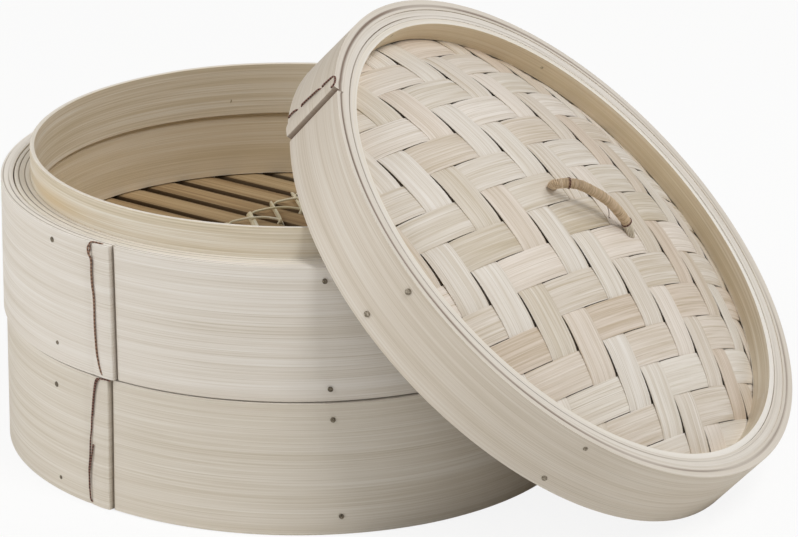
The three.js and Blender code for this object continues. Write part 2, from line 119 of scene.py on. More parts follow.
def bambooMaterial(name, **changes):
    # split bamboo: long fibres that run with the strip, in fine pale and tan lines, and a dull waxy face;
    # painted shade and painted light are laid on from the mesh's attributes
    look = {**bambooLook, **changes}
    material, tree = startMaterial(name)
    fibre = addNode(tree, "ShaderNodeUVMap", uv_map="fibre")
    tone, stain, wave = [
        addNode(tree, "ShaderNodeAttribute", attribute_name=word).outputs["Fac"]
        for word in ("tone", "stain", "wave")
    ]

    def grain(spans, width, scale, detail, roughness):
        # noise drawn out along the strip, over so many fibre lengths
        size = (1 / (spans * look["fibreLength"] * mm), 1 / (width * mm), 1)
        drawnOut = addNode(tree, "ShaderNodeMapping", {0: fibre, 3: size})
        values = {0: drawnOut, 2: scale, 3: detail, 4: roughness}
        return addNode(tree, "ShaderNodeTexNoise", values, noise_dimensions="2D")

    def layer(under, source, empty, full, share, colour, rule="LINEAR"):
        # one colour over another: none of it where source is at empty, and its share where source is at full
        values = {0: source, 1: empty, 2: full, 3: 0.0, 4: share}
        amount = addNode(tree, "ShaderNodeMapRange", values, interpolation_type=rule)
        values = {0: amount, 6: under, 7: linear(look[colour])}
        return addNode(tree, "ShaderNodeMix", values, data_type="RGBA").outputs[2]

    fine = grain(spans=1, width=look["fibreWidth"], scale=1.0, detail=3.0, roughness=0.65)
    broad = grain(spans=3, width=look["streakWidth"], scale=1.0, detail=3.0, roughness=0.6)
    lineWidth = look["lineWidth"] * look["fibreWidth"]
    line = grain(spans=2, width=lineWidth, scale=1.3, detail=2.0, roughness=0.5)
    place = addNode(tree, "ShaderNodeTexCoord").outputs["Object"]
    cloud = addNode(tree, "ShaderNodeTexNoise", {0: place, 2: 1 / (look["patch"] * mm), 3: 2.0})
    shade = addNode(tree, "ShaderNodeMath", {0: fine, 1: look["fineShare"]}, operation="MULTIPLY")
    for pattern, share in [(broad, "streakShare"), (cloud, "patchShare"), (tone, "toneShare")]:
        values = {0: pattern, 1: look[share], 2: shade}
        shade = addNode(tree, "ShaderNodeMath", values, operation="MULTIPLY_ADD")
    scatter = addNode(tree, "ShaderNodeMath", {0: tone, 1: look["tintScatter"]}, operation="MULTIPLY")
    scatter = addNode(tree, "ShaderNodeMath", {0: scatter}, operation="FRACT")
    ramp, tint = [addNode(tree, "ShaderNodeValToRGB", {0: value}) for value in (shade, scatter)]
    setStops(ramp, look["stops"])
    setStops(tint, look["tints"])
    colour = layer(ramp, line, *look["lineRange"], look["lineShare"], "line", "SMOOTHSTEP")
    values = {0: 1.0, 6: colour, 7: tint}
    colour = addNode(tree, "ShaderNodeMix", values, data_type="RGBA", blend_type="MULTIPLY").outputs[2]
    # yellow above 0: a real stain on the collar, and tan with painted shade on inner faces; paler below 0:
    # planed faces with a painted highlight, and painted light on the lid's top ring
    colour = layer(colour, stain, 0.0, 1.0, 1.0, "stain")
    colour = layer(colour, stain, 0.0, -1.0, 1.0, "pale")
    # painted shade: darker where the mesh's wave of painted shade falls below 0
    colour = layer(colour, wave, 0.0, -look["sinkDepth"], look["sinkShare"], "sink")
    smooth, coarse = look["rough"] - look["roughSpread"], look["rough"] + look["roughSpread"]
    rough = addNode(tree, "ShaderNodeMapRange", {0: fine, 3: smooth, 4: coarse})
    depth = look["bumpDepth"] * mm
    bump = addNode(tree, "ShaderNodeBump", {"Strength": look["bump"], "Distance": depth, "Height": fine})
    values = {"Base Color": colour, "Roughness": rough, "Normal": bump}
    finishMaterial(tree, {**values, "Specular IOR Level": look["specular"]})
    return material


def threadMaterial(name, twist, stops):
    # waxed cotton thread: twisted plies, painted dark in the creases between them as shade and paler on their
    # ridges; one turn for each length of twist
    material, tree = startMaterial(name)
    fibre = addNode(tree, "ShaderNodeUVMap", uv_map="fibre")
    turned = addNode(tree, "ShaderNodeMapping", {0: fibre, 3: (1 / (twist * mm), 2, 1)})
    parts = addNode(tree, "ShaderNodeSeparateXYZ", {0: turned})
    ply = parts.outputs[0]
    for operation, value in [("ADD", parts.outputs[1]), ("MULTIPLY", 2 * math.pi), ("SINE", 0.0)]:
        ply = addNode(tree, "ShaderNodeMath", {0: ply, 1: value}, operation=operation)
    level = addNode(tree, "ShaderNodeMapRange", {0: ply, 1: -1.0, 2: 1.0})
    ramp = addNode(tree, "ShaderNodeValToRGB", {0: level})
    setStops(ramp, stops)
    bump = addNode(tree, "ShaderNodeBump", {"Strength": 0.6, "Distance": 0.1 * mm, "Height": level})
    finishMaterial(tree, {"Base Color": ramp, "Roughness": 0.7, "Normal": bump})
    return material


def pegMaterial(name, stops, pore=0.6):
    # bamboo peg cut across: dark pores in a grey-brown face
    material, tree = startMaterial(name)
    place = addNode(tree, "ShaderNodeTexCoord").outputs["Object"]
    pores = addNode(tree, "ShaderNodeTexNoise", {0: place, 2: 1 / (pore * mm), 3: 2.0})
    ramp = addNode(tree, "ShaderNodeValToRGB", {0: pores})
    setStops(ramp, stops)
    finishMaterial(tree, {"Base Color": ramp, "Roughness": 0.8})
    return material


bandBamboo = {
    "upper": bambooMaterial(
        "upperBandBamboo",  # bleached most, nearly cream
        stops=[(0.34, "#D3C9BA"), (0.50, "#E1D9CE"), (0.64, "#EAE4DC")],
    ),
    "lower": bambooMaterial("lowerBandBamboo"),  # fine level lines in a warmer cream
    "lid": bambooMaterial(
        "lidBandBamboo",  # a little greyer and darker than the tiers, with a browner painted shade for grooves and the seam
        stops=[(0.34, "#C7BBA9"), (0.50, "#D5CABB"), (0.64, "#DED6CA")], line="#AD9F88", sink="#6B4F3C",
    ),
}
hoopBamboo = bambooMaterial(
    "hoopBamboo",  # inner hoops, collars, the lid's rings, the handle's fibres: less bleached, tan lines, a yellow that also paints shade
    fineShare=0.42, streakShare=0.43, stops=[(0.39, "#CCBEA3"), (0.50, "#DCD0BB"), (0.60, "#E8E1D3")],
    line="#AE9E80", stain="#D9C198",
)
stripBamboo = bambooMaterial(
    "stripBamboo",  # shaved strips of the weave: each one a little pinker, greyer or tanner than the next; painted shade, dark brown, where a strip dips under
    fibreLength=45, fibreWidth=0.7, streakWidth=2.4, toneShare=0.2,
    stops=[(0.38, "#C6B8A0"), (0.56, "#DDD4C7"), (0.74, "#EEE8E0")], lineShare=0.55, bump=0.6,
    tints=[(0.0, "#FBF9F5"), (0.45, "#FFFFFF"), (0.8, "#FDF8F4"), (1.0, "#F6EDE5")], sink="#4F3D2A",
)
slatBamboo = bambooMaterial(
    "slatBamboo",  # sawn slats of the floor: inner wood, tan to brown, with dark brown painted shade on their sides and face rims
    fibreWidth=0.7, streakWidth=3, toneShare=0.15, line="#6B5138", sink="#43301F", rough=0.6,
    stops=[(0.36, "#8A6E4C"), (0.54, "#AE926B"), (0.70, "#C6AF89")],
)
caneBamboo = bambooMaterial(
    "caneBamboo",  # split cane of the lashings: pale straw
    fibreWidth=0.4, streakWidth=1.2, fibreLength=20, line="#B3A47C",
    stops=[(0.36, "#D8CCA8"), (0.52, "#EBE2C6"), (0.68, "#F5F0E0")],
)
handleCane = bambooMaterial(
    "handleCane",  # cane of the handle: darker tan skin, brown between the turns
    fibreWidth=0.3, streakWidth=0.8, fibreLength=8, patch=12, line="#846D53",
    stops=[(0.36, "#AB9476"), (0.52, "#CDB595"), (0.68, "#E5D1B8")],
)
liningBamboo = bambooMaterial(
    "liningBamboo",  # sheet under the weave, seen through its slits and from below
    streakWidth=8, stops=[(0.36, "#6E5A3E"), (0.52, "#8A7453"), (0.68, "#A08B69")],
)
redThread = threadMaterial("redThread", 1.1, [(0.2, "#43241B"), (0.6, "#6B4336"), (1.0, "#936E5F")])
paleThread = threadMaterial("paleThread", 1.3, [(0.2, "#65483A"), (0.6, "#83634F"), (1.0, "#A1836D")])
pegFace = pegMaterial("pegFace", [(0.35, "#4A4236"), (0.55, "#776C5B"), (0.7, "#9D9280")])
lidPegFace = pegMaterial("lidPegFace", [(0.35, "#6E6454"), (0.55, "#978C7B"), (0.7, "#B8AE9D")])
innerPegFace = pegMaterial("innerPegFace", [(0.35, "#A5967A"), (0.55, "#BBAC8E"), (0.7, "#C9BC9F")])
print("materials made")


# meshes

creases = {"hoop": 35, "slat": 40, "strip": 50, "peg": 40, "lining": 40}  # degrees where an edge turns sharp


def sharpen(mesh, kind):
    mesh.set_sharp_from_angle(angle=math.radians(creases[kind]))


def addObject(name, data):
    thing = bpy.data.objects.new(name, data)
    bpy.context.scene.collection.objects.link(thing)
    return thing


def addPiece(name, mesh, body, material, replaced=()):
    piece = addObject(name, mesh)
    mesh.materials.clear()
    mesh.materials.append(material)
    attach(piece, body)
    if replaced:
        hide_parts(*replaced)
    return piece


def skin(name, rows, along, across, place, joined=False):
    # rows of points, each row a closed section, skinned one to the next; fibre holds metres along and across
    sides = len(rows[0])
    count = len(rows)
    faces = []
    corners = []
    for i in range(count if joined else count - 1):
        a, b = i * sides, (i + 1) % count * sides
        near, far = along[i], along[i + 1]
        for k in range(sides):
            n = (k + 1) % sides
            faces.append((a + k, a + n, b + n, b + k))
            low, high = across[k], across[k + 1]
            corners += [(near, low), (near, high), (far, high), (far, low)]
    if not joined:
        faces.append(tuple(reversed(range(sides))))
        faces.append(tuple((count - 1) * sides + k for k in range(sides)))
        corners += [(along[0], across[k]) for k in reversed(range(sides))]
        corners += [(along[-1], across[k]) for k in range(sides)]
    mesh = bpy.data.meshes.new(name)
    mesh.from_pydata([place @ (p * mm) for row in rows for p in row], [], faces)
    layer = mesh.uv_layers.new(name="fibre")
    layer.data.foreach_set("uv", [value * mm for corner in corners for value in corner])
    mesh.shade_smooth()
    sharpen(mesh, "hoop")
    mesh.update()
    return mesh


def lengths(points):
    total = [0]
    for i in range(len(points)):
        total.append(total[-1] + (points[(i + 1) % len(points)] - points[i]).length)
    return total


# hoops: the bands, inner hoops, foot hoops, collars and the lid's rings

hoopLook = {
    "bevel": 0.22, "steps": 240, "seed": 0, "slant": 0, "grainApart": 37, "uneven": 0.12,
    # paler top and bottom faces: planed bamboo with a painted highlight; tan inner face: the bamboo's tan
    # with painted shade; a placed patch: the collar's real stain and the top ring's painted light
    "planed": 0.6, "steamed": 0.0, "spill": None,
    # painted shade in the grooves and on the strip's end face, painted shadow beside its end
    "lines": [], "groove": 0.2, "grooveLip": 1.6, "lipShare": 0.1, "lipDark": 0.4, "grooveDepth": 0.3,
    "grooveTurn": -130, "grooveMean": 0.35, "grooveSwing": 0.55, "grooveLeast": 0.05,
    "lap": None, "lapLength": 124, "lapGap": 1.2, "gapReach": 0.9, "seamShadow": 0.6, "endDark": 0.15,
    "endLift": 0.25, "endPlace": 3.6, "endSpread": 2.6, "blunt": 0.2, "bluntFrom": 0.1,
    "stitch": 8.6, "stitchDip": 0.25, "stitchSpread": 0.8,
}
wander = {  # how uneven a strip is: scales of its noise round the hoop, and what holds it inside its sizes
    "rise": 60, "face": 2.2, "faceIn": 0.7, "edge": 3.1, "edgeIn": 0.8,
    "groove": 2.7, "grooveShare": 0.8, "apart": 3,
}
seamRows = {  # rows of the sweep near the step: distances past the strip's end and before it
    "past": [0.15, 0.45, 0.8, 1.2, 1.8, 2.6, 4], "clearPast": 4.5,
    "before": [12, 10, 9, 8.2, 7, 5.5, 4, 2.5, 1.2, 0.3, 0.08, 0], "clearBefore": 13,
}


def hump(distance, middle, spread):
    return math.exp(-((distance - middle) / spread) ** 2)


def hoopOutline(depth, look):
    # outline of a hoop's section, anticlockwise from its lower inner corner: distance from the bore, height,
    # and the depth of the groove between two layers of the strip
    bottom, top, bevel, groove = [look[word] for word in ("bottom", "top", "bevel", "groove")]
    lip, start = look["grooveLip"] * groove, look["lipShare"]

    def edge(level, inwards):
        points = [(0, level + inwards * bevel, 0), (bevel, level, 0)]
        for line in look["lines"]:
            for off, share in [(-lip, 0), (-groove, start), (0, 1), (groove, start), (lip, 0)]:
                points.append((line + off, level, share * inwards * look["grooveDepth"]))
        return points + [(depth - bevel, level, 0), (depth, level + inwards * bevel, 0)]

    rises = [bottom + (top - bottom) * share for share in (0.2, 0.4, 0.6, 0.8)]
    outside = [(depth, rise, 0) for rise in rises]
    inside = [(0, rise, 0) for rise in reversed(rises)]
    return edge(bottom, 1) + outside + list(reversed(edge(top, -1))) + inside


def hoopMesh(name, place, look):
    # a strip bent to a hoop; its outline is swept round, with the wound strip's step where it has one
    depth = look["radius"] - look["bore"]
    outline = hoopOutline(depth, look)
    seam = math.radians(look["seam"])
    girth = 2 * math.pi * look["radius"]
    lap, spill, bottom, top, uneven = [look[word] for word in ("lap", "spill", "bottom", "top", "uneven")]
    shares = [i / look["steps"] for i in range(look["steps"])]
    if lap:
        first, last = seamRows["clearPast"] / girth, 1 - seamRows["clearBefore"] / girth
        shares = [share for share in shares if first < share < last]
        shares = [n / girth for n in seamRows["past"]] + shares + [1 - n / girth for n in seamRows["before"]]
    rows, waves, stains = [], [], []
    for share in shares:
        angle = seam + share * 2 * math.pi
        past = share * girth
        fromEnd = girth - past
        step = nearGap = 0
        if lap:
            nearGap = hump(past, 0, look["gapReach"])
            fade = min(past / look["lapLength"], 1)
            step = lap * (1 - fade * fade * (3 - 2 * fade)) + look["lapGap"] * nearGap
            step -= look["endLift"] * hump(fromEnd, look["endPlace"], look["endSpread"])
            step += look["stitchDip"] * hump(fromEnd, look["stitch"], look["stitchSpread"])
            if fromEnd < look["bluntFrom"]:
                step += look["blunt"]
        row = []
        for x, z, cut in outline:
            sway = Vector((math.cos(angle), math.sin(angle), z / wander["rise"] + look["seed"]))
            out = look["bore"] + x * (depth - step) / depth
            out += uneven * (noise.noise(sway * wander["face"]) - wander["faceIn"])
            lift = 0.0  # the edges wander too, always inside the hoop's height
            if not bottom < z < top:
                inwards = wander["edgeIn"] if z == bottom else -wander["edgeIn"]
                lift = uneven * (noise.noise(sway * wander["edge"]) + inwards)
            # the gap between layers opens most towards grooveTurn; painted shade fills the groove, darkest at
            # its floor and lighter on its lips
            turned = angle - math.radians(look["grooveTurn"])
            opened = look["grooveMean"] + look["grooveSwing"] * math.cos(turned)
            along = sway * wander["groove"] + Vector((0, 0, wander["apart"] * x))
            opened = max(look["grooveLeast"], opened + wander["grooveShare"] * noise.noise(along))
            lift += cut * opened
            dark = look["lipDark"] + (1 - look["lipDark"]) * abs(cut) / look["grooveDepth"]
            # painted shadow beside the strip's end, and painted shade on its end face
            shadow = look["seamShadow"] * nearGap if x > depth / 2 else 0
            if lap and past == girth:
                shadow = look["endDark"]
            waves.append(-min(1, opened * dark if cut else shadow))
            # the paler top and bottom faces are partly a painted highlight, the tan inner face partly painted
            # shade
            stains.append(-look["planed"] if z in (bottom, top) else look["steamed"] * (x == 0))
            if spill:
                way = (math.degrees(angle) + 180) % 360 - 180
                near = hump(way, spill["turn"], spill["spread"]) * hump(z, spill["height"], spill["rise"])
                stains[-1] += spill["share"] * near
            slanted = angle + math.radians(look["slant"]) * (z / top - 0.5)
            row.append(Vector((out * math.cos(slanted), out * math.sin(slanted), z + lift)))
        rows.append(row)
    around = [s * girth for s in shares] + [girth]
    across = [v + look["grainApart"] * look["seed"] for v in lengths([Vector((x, z)) for x, z, _ in outline])]
    mesh = skin(name, rows, around, across, place, joined=True)
    # first attribute, below 0: painted shade in a groove, beside the strip's end and on its end face; second,
    # above 0 yellow: a real stain, and painted shade on the inner face; below 0 paler: planed faces with a
    # painted highlight, and painted light on the lid's top ring
    for label, values in [("wave", waves), ("stain", stains)]:
        mesh.attributes.new(label, "FLOAT", "POINT").data.foreach_set("value", values)
    return mesh


tierHoops = {  # each hoop's bore, outer radius, bottom and top
    "band": (97.3, outerRadius, 0, 47.5), "hoop": (91.4, 96.9, 14.8, 47.3), "foot": (92.9, 96.9, 0, 11.6),
    "collar": (89.7, 91.3, 38.6, 58.0),
}
seamDegrees = {"lower": -103.2, "upper": -101.4, "lid": -148.5}
seamSlant = {"lower": 0, "upper": -0.7, "lid": -0.9}  # degrees round the hoop that the strip's end leans by
collarStain = {"turn": -128, "height": 50, "spread": 13, "rise": 3, "share": 0.8}  # a yellow patch


def addHoop(name, place, body, slot, material, section, **look):
    section = dict(zip(("bore", "radius", "bottom", "top"), section))
    mesh = hoopMesh(name, place, {**hoopLook, **section, **look})
    addPiece(name + "_bent", mesh, body, material, [name])


def makeTierHoops(tier, place):
    seed = 1 if tier == "lower" else 5
    seam = seamDegrees[tier]
    body = tier + "_tier"
    addHoop(
        tier + "_outer_band", place, body, "band", bandBamboo[tier], tierHoops["band"], seam=seam,
        slant=seamSlant[tier], lap=1.2, lines=[1.6, 3.4], steps=320, seed=seed,
        grooveTurn=-108, grooveMean=-1.1, grooveSwing=2.1,
    )
    addHoop(
        # the inner faces of these hoops and the collar are tinted tan, with painted shade
        tier + "_inner_hoop", place, body, "hoop", hoopBamboo, tierHoops["hoop"], seam=seam + 160,
        lines=[1.8, 3.9], seed=seed + 1, steamed=0.4,
    )
    addHoop(
        tier + "_foot_hoop", place, body, "hoop", hoopBamboo, tierHoops["foot"], seam=seam + 200,
        lines=[2.0], seed=seed + 2, steamed=0.4,
    )
    addHoop(
        tier + "_collar", place, body, "collar", hoopBamboo, tierHoops["collar"], seam=seam + 120, bevel=0.3,
        seed=seed + 3, steamed=0.15, spill=collarStain if tier == "upper" else None,
    )


# geometry node trees

def startTree(name, sockets):
    tree = bpy.data.node_groups.new(name, "GeometryNodeTree")
    tree.interface.new_socket("Geometry", in_out="OUTPUT", socket_type="NodeSocketGeometry")
    for kind, labels in {**sockets, "Material": ["Material"]}.items():
        for label in labels:
            tree.interface.new_socket(label, in_out="INPUT", socket_type="NodeSocket" + kind)
    return tree, addNode(tree, "NodeGroupInput").outputs


def endTree(tree, geometry, material):
    real = addNode(tree, "GeometryNodeRealizeInstances", {0: geometry})
    smooth = addNode(tree, "GeometryNodeSetShadeSmooth", {0: real})
    dressed = addNode(tree, "GeometryNodeSetMaterial", {0: smooth, "Material": material})
    addNode(tree, "NodeGroupOutput", {0: dressed})
    return tree


def runTree(name, tree, values, place, source=None):
    # the tree's result as a plain mesh, put in its place
    holder = addObject(name + "Holder", source or bpy.data.meshes.new(name + "Source"))
    modifier = holder.modifiers.new("grow", "NODES")
    modifier.node_group = tree
    for item in tree.interface.items_tree:
        if item.in_out == "INPUT" and item.name in values:
            modifier[item.identifier] = values[item.name]
    view = bpy.context.evaluated_depsgraph_get()
    mesh = bpy.data.meshes.new_from_object(holder.evaluated_get(view), depsgraph=view)
    bpy.data.objects.remove(holder)
    mesh.transform(place)
    mesh.name = name
    return mesh


signs = {"*": "MULTIPLY", "/": "DIVIDE", "+": "ADD", "-": "SUBTRACT", "**": "POWER", "*+": "MULTIPLY_ADD"}


def barsTree(name, labels, segments, rules):
    # a row of bars, bent and placed by the rules from a along a bar, b across it and c up, all -0.5 to 0.5;
    # each rule is one sum or one function, under the name that later rules know it by
    tree, given = startTree(name, {"Int": ["Bars", "Seed"], "Float": labels})
    bar = addNode(tree, "GeometryNodeMeshCube", {"Vertices " + axis: n for axis, n in zip("XYZ", segments)})
    line = addNode(tree, "GeometryNodeMeshLine", {"Count": given["Bars"], "Offset": (0, 0, 0)})
    bars = addNode(tree, "GeometryNodeInstanceOnPoints", {"Points": line, "Instance": bar})
    index = addNode(tree, "GeometryNodeInputIndex")
    values = {2: 0.0, 3: 1.0, "ID": index, "Seed": given["Seed"]}
    draw = addNode(tree, "FunctionNodeRandomValue", values, data_type="FLOAT")
    for label, value in [("bar", index), ("tone", draw.outputs[1])]:
        values = {0: bars, "Name": label, "Value": value}
        bars = addNode(tree, "GeometryNodeStoreNamedAttribute", values, data_type="FLOAT", domain="INSTANCE")
    shape = addNode(tree, "GeometryNodeRealizeInstances", {0: bars})
    spot = addNode(tree, "ShaderNodeSeparateXYZ", {0: addNode(tree, "GeometryNodeInputPosition")})
    known = {label: given[label] for label in labels + ["Bars"]} | dict(zip("abc", spot.outputs))
    for label in ["bar", "tone"]:
        known[label] = addNode(tree, "GeometryNodeInputNamedAttribute", {"Name": label}, data_type="FLOAT")
    known["quarterTurn"] = math.pi / 2
    places = ["last = Bars - 1", "middle = last * 0.5", "number = bar - middle", "row = number * Pitch"]
    for rule in places + rules:
        result, _, *words = rule.split()
        if len(words) == 2:
            operation, operands = words[0].upper(), words[1:]
        else:
            operation, operands = signs["".join(words[1::2])], words[::2]
        operands = {i: known[word] if word in known else float(word) for i, word in enumerate(operands)}
        known[result] = addNode(tree, "ShaderNodeMath", operands, operation=operation)
    grain, place = [
        addNode(tree, "ShaderNodeCombineXYZ", {i: known[word] for i, word in enumerate(words)})
        for words in [("grainU", "grainV"), ("placeX", "placeY", "placeZ")]
    ]
    # the grain, and the wave of painted shade, kept for the material
    for label, value, kind, domain in [
        ("fibre", grain, "FLOAT2", "CORNER"), ("wave", known["wave"], "FLOAT", "POINT"),
    ]:
        values = {0: shape, "Name": label, "Value": value}
        shape = addNode(tree, "GeometryNodeStoreNamedAttribute", values, data_type=kind, domain=domain)
    shape = addNode(tree, "GeometryNodeSetPosition", {0: shape, "Position": place})
    return endTree(tree, shape, given["Material"])


def wovenTree():
    # one family of the weave: bars on a ball that pass over two crossing bars and under two; the same wave
    # paints shade on a strip where it dips under
    labels = ["Pitch", "Width", "Thickness", "Level", "Crown", "Ball", "Centre", "Edge", "Shift", "Sharpness"]
    return barsTree("wovenStrips", labels, (230, 8, 2), [
        "across = b * Width + row",
        "turnY = across / Ball",
        "sinY = sine turnY",
        "y = sinY * Ball",
        "yy = y * y",
        "edgeEdge = Edge * Edge",
        "chord = edgeEdge - yy",
        "reach = sqrt chord",
        "reachShare = reach / Ball",
        "endTurn = arcsine reachShare",
        "aa = a * 2",
        "turnX = aa * endTurn",
        "along = turnX * Ball",
        "sinX = sine turnX",
        "x = sinX * Ball",
        "xx = x * x",
        "flat = xx + yy",
        "ballBall = Ball * Ball",
        "zz = ballBall - flat",
        "z = sqrt zz",
        "pitches = along / Pitch",
        "stepped = pitches - number",
        "shifted = stepped + Shift",
        "phase = shifted * quarterTurn",
        "swing = cosine phase",
        "steep = swing * Sharpness",
        # the strip's rise and fall and its painted shade both follow this wave
        "wave = tanh steep",
        "bb = b * 2",
        "bSquared = bb * bb",
        "bFourth = bSquared * bSquared",
        "bEighth = bFourth * bFourth",
        "thin = bEighth * -0.5 + 1",
        "face = c * thin",
        "wall = face * Thickness",
        "crownDrop = bSquared * Crown",
        "base = wall - crownDrop",
        "height = wave * Level + base",
        "lift = height / Ball",
        "scale = lift + 1",
        "placeX = x * scale",
        "placeY = y * scale",
        "placeZ = z * scale + Centre",
        "away = tone * 0.5",
        "grainU = along + away",
        "grainV = row * 3.7 + across",
    ])


def slatTree():
    # a row of slats whose ends follow the hoop; painted shade darkens their sides and the rims of their faces
    return barsTree("slattedFloor", ["Pitch", "Width", "Thickness", "Reach", "Bottom"], (24, 6, 4), [
        "bb = b * 2",
        "cc = c * 2",
        "longEdge = bb ** 8",
        "corner = bb ** 12",
        "facing = cc ** 8",
        "ccSquared = cc * cc",
        "faceLevel = ccSquared - 1",
        "wave = longEdge * -0.4 + faceLevel",
        "cornerDrop = corner * -0.16 + 1",
        "cornerIn = facing * -0.03 + 1",
        "widthHere = Width * cornerIn",
        "placeY = b * widthHere + row",
        "yy = placeY * placeY",
        "reachReach = Reach * Reach",
        "chord = reachReach - yy",
        "reach = sqrt chord",
        "aa = a * 2",
        "placeX = aa * reach",
        "deep = Thickness * cornerDrop",
        "half = Thickness * 0.5",
        "level = Bottom + half",
        "placeZ = c * deep + level",
        "grainU = tone * 0.4 + placeX",
        "grainV = row * 2.3 + placeY",
    ])


def strandTree():
    # a round or flattened strand along the edges it is given
    floats = ["Width", "Flatness", "Step"]
    tree, given = startTree("strand", {"Geometry": ["Source"], "Float": floats, "Int": ["Sides"]})
    path = addNode(tree, "GeometryNodeMeshToCurve", {0: given["Source"]})
    path = addNode(tree, "GeometryNodeCurveSplineType", {0: path}, spline_type="CATMULL_ROM")
    path = addNode(tree, "GeometryNodeResampleCurve", {0: path, "Length": given["Step"]}, mode="LENGTH")
    path = addNode(tree, "GeometryNodeSetCurveNormal", {0: path}, mode="MINIMUM_TWIST")
    half = addNode(tree, "ShaderNodeMath", {0: given["Width"], 1: 0.5}, operation="MULTIPLY")
    ring = addNode(tree, "GeometryNodeCurvePrimitiveCircle", {"Resolution": given["Sides"], "Radius": half})
    squeezed = addNode(tree, "ShaderNodeCombineXYZ", {0: 1.0, 1: given["Flatness"], 2: 1.0})
    ring = addNode(tree, "GeometryNodeTransform", {0: ring, "Scale": squeezed})
    spline = addNode(tree, "GeometryNodeSplineParameter")
    values = {0: path, "Name": "travelled", "Value": spline.outputs["Length"]}
    path = addNode(tree, "GeometryNodeStoreNamedAttribute", values, data_type="FLOAT", domain="POINT")
    values = {0: ring, "Name": "around", "Value": spline.outputs["Factor"]}
    ring = addNode(tree, "GeometryNodeStoreNamedAttribute", values, data_type="FLOAT", domain="POINT")
    tube = addNode(tree, "GeometryNodeCurveToMesh", {0: path, "Profile Curve": ring, "Fill Caps": True})
    travelled, around = [
        addNode(tree, "GeometryNodeInputNamedAttribute", {"Name": label}, data_type="FLOAT")
        for label in ("travelled", "around")
    ]
    width = addNode(tree, "ShaderNodeMath", {0: around, 1: given["Width"]}, operation="MULTIPLY")
    grain = addNode(tree, "ShaderNodeCombineXYZ", {0: travelled, 1: width})
    values = {0: tube, "Name": "fibre", "Value": grain}
    tube = addNode(tree, "GeometryNodeStoreNamedAttribute", values, data_type="FLOAT2", domain="CORNER")
    return endTree(tree, tube, given["Material"])


def pegTree():
    # a peg on each point, facing the way the point says, some thicker and some thinner
    tree, given = startTree("pegs", {"Geometry": ["Source"], "Float": ["Diameter", "Length"]})
    half = addNode(tree, "ShaderNodeMath", {0: given["Diameter"], 1: 0.5}, operation="MULTIPLY")
    values = {"Vertices": 14, "Side Segments": 1, "Radius": half, "Depth": given["Length"]}
    pin = addNode(tree, "GeometryNodeMeshCylinder", values)
    facing = addNode(tree, "GeometryNodeInputNamedAttribute", {"Name": "facing"}, data_type="FLOAT_VECTOR")
    turned = addNode(tree, "FunctionNodeAlignRotationToVector", {"Vector": facing}, axis="Z")
    values = {0: (0.8, 0.8, 1.0), 1: (1.15, 1.15, 1.0), "Seed": 4}
    size = addNode(tree, "FunctionNodeRandomValue", values, data_type="FLOAT_VECTOR")
    values = {"Points": given["Source"], "Instance": pin, "Rotation": turned, "Scale": size}
    pins = addNode(tree, "GeometryNodeInstanceOnPoints", values)
    return endTree(tree, pins, given["Material"])


trees = {"woven": wovenTree(), "slats": slatTree(), "strand": strandTree(), "pegs": pegTree()}
print("trees made")


def addStrands(
    name, paths, width, place, body, slot, material, replaced=(), flatness=1.0, step=0.5, sides=10,
):
    # a piece of strands, one along each path
    source = bpy.data.meshes.new(name + "Paths")
    points = []
    edges = []
    for path in paths:
        edges += [(len(points) + i, len(points) + i + 1) for i in range(len(path) - 1)]
        points += [p * mm for p in path]
    source.from_pydata(points, edges, [])
    values = {"Width": width * mm, "Flatness": flatness, "Step": step * mm, "Sides": sides}
    mesh = runTree(name, trees["strand"], {**values, "Material": material}, place, source)
    addPiece(name, mesh, body, material, replaced)


def pointOn(radius, degrees, height):
    angle = math.radians(degrees)
    return Vector((radius * math.cos(angle), radius * math.sin(angle), height))


# floors

floorSizes = {
    "slats": 14, "pitch": 13.6, "width": 10.4, "thickness": 2.6, "reach": 95.8, "bottom": 11.9, "turn": -11.5,
}
crossBar = {
    "place": 32.5, "width": 12.2, "thickness": 2.2, "reach": 88.2, "end": 81.6, "gap": 0.02, "steps": 24,
    # the bar's section, in shares of its width and thickness
    "section": [
        (-0.5, 0.1), (-0.46, 0), (0.46, 0), (0.5, 0.1), (0.5, 0.9), (0.46, 1), (-0.46, 1), (-0.5, 0.9),
    ],
}
lashing = {
    "slats": 10, "spread": 6.85, "stagger": 0.7, "under": 0.5,
    "flatWidth": 2.8, "flatness": 0.45, "flatDip": 0.6, "flatRise": 0.35,
    "flatIn": 0.9, "flatNear": 1.6, "flatFar": 1.2,
    "archWidth": 0.9, "arch": 2.0, "archDip": 0.2, "archUnder": 0.9, "shoulder": 0.75, "shoulderOut": 0.55,
}


def barMesh(name, side, place):
    bar = crossBar
    rows = []
    along = []
    for i in range(bar["steps"] + 1):
        share = 2 * i / bar["steps"] - 1
        row = []
        for x, z in bar["section"]:
            across = side * bar["place"] + x * bar["width"]
            end = min(math.sqrt(bar["reach"] ** 2 - across ** 2), bar["end"])
            height = floorSizes["bottom"] - bar["thickness"] * (1 - z) - bar["gap"]
            row.append(Vector((across, share * end, height)))
        rows.append(row)
        along.append(share * bar["end"])
    return skin(name, rows, along, lengths(rows[0]), place)


